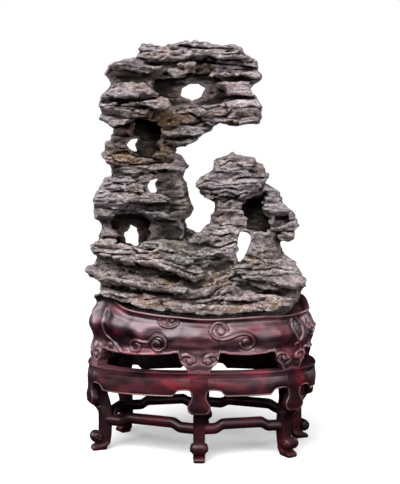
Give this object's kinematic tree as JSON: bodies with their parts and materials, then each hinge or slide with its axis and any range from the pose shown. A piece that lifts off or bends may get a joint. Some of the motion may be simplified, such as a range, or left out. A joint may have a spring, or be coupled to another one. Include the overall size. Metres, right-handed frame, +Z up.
{
  "type": "scholar's rock on a carved stand",
  "caption": "Pierced, layered scholar's rock with an overhanging cap and a side peak, held in a carved cradle on an open stand with curved legs and stretchers.",
  "frame": {"origin": "on the floor, under the middle of the whole object's box", "axes": "+Z up, -Y towards the viewer's side of the stone, +X to the viewer's right"},
  "size_m": [0.3468, 0.218, 0.6105],
  "materials": {
    "stone": "matt, weathered, layered grey-brown limestone with rusty and dark crevices",
    "hardwood": "polished dark red hardwood with a soft gloss"
  },
  "bodies": {
    "root": {"rock": "stone", "cradle": "hardwood", "frame_rail_1": "hardwood", "frame_rail_2": "hardwood", "frame_rail_3": "hardwood", "frame_rail_4": "hardwood", "frame_rail_5": "hardwood", "frame_rail_6": "hardwood", "apron_1": "hardwood", "apron_2": "hardwood", "apron_3": "hardwood", "apron_4": "hardwood", "apron_5": "hardwood", "apron_6": "hardwood", "leg_1": "hardwood", "leg_2": "hardwood", "leg_3": "hardwood", "leg_4": "hardwood", "leg_5": "hardwood", "leg_6": "hardwood", "stretcher_1": "hardwood", "stretcher_2": "hardwood", "stretcher_3": "hardwood", "stretcher_4": "hardwood", "stretcher_5": "hardwood", "stretcher_6": "hardwood"}
  },
  "joints": []
}
